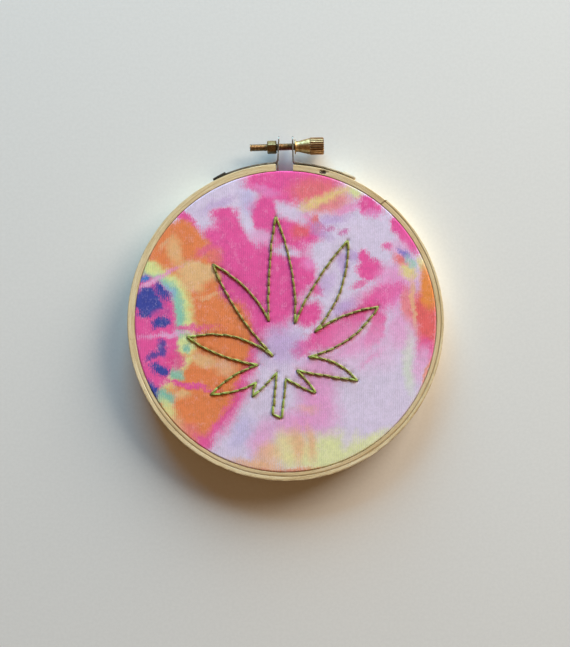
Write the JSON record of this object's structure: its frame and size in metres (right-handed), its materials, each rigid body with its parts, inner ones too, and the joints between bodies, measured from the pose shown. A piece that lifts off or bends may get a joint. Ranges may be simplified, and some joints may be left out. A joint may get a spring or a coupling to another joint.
{
  "type": "embroidered cloth in an embroidery hoop",
  "caption": "Round wooden embroidery hoop with stretched tie-dyed jersey, a back-stitched leaf outline and a brass clamping screw through steel ears.",
  "frame": {"origin": "centre of the bounding box's bottom face: on the surface that the hoop's back rests on", "axes": "+Z along the rings' axis, out of the stitched face; +Y towards the clamping screw; +X to the right, seen from the front"},
  "size_m": [0.11, 0.1199, 0.0104],
  "materials": {
    "wood": "pale bare wood, sanded",
    "jersey": "tie-dyed knit jersey, matte",
    "floss": "stranded cotton floss, slight sheen",
    "lug_steel": "dull grey steel strip",
    "screw_brass": "darkened brass plating"
  },
  "bodies": {
    "hoop": {"outer_ring": "wood", "inner_ring": "wood", "cloth": "jersey", "leaf_stitching": "floss", "left_lug": "lug_steel", "right_lug": "lug_steel", "nut": "screw_brass"},
    "thumb_screw": {"thumb_screw": "screw_brass"}
  },
  "joints": [
    {"name": "screw_turn", "type": "hinge", "parent": "hoop", "child": "thumb_screw", "pos_m": [0, 0.0564, 0.00475], "axis": [0.9996, 0.0279, 0], "continuous": true}
  ]
}
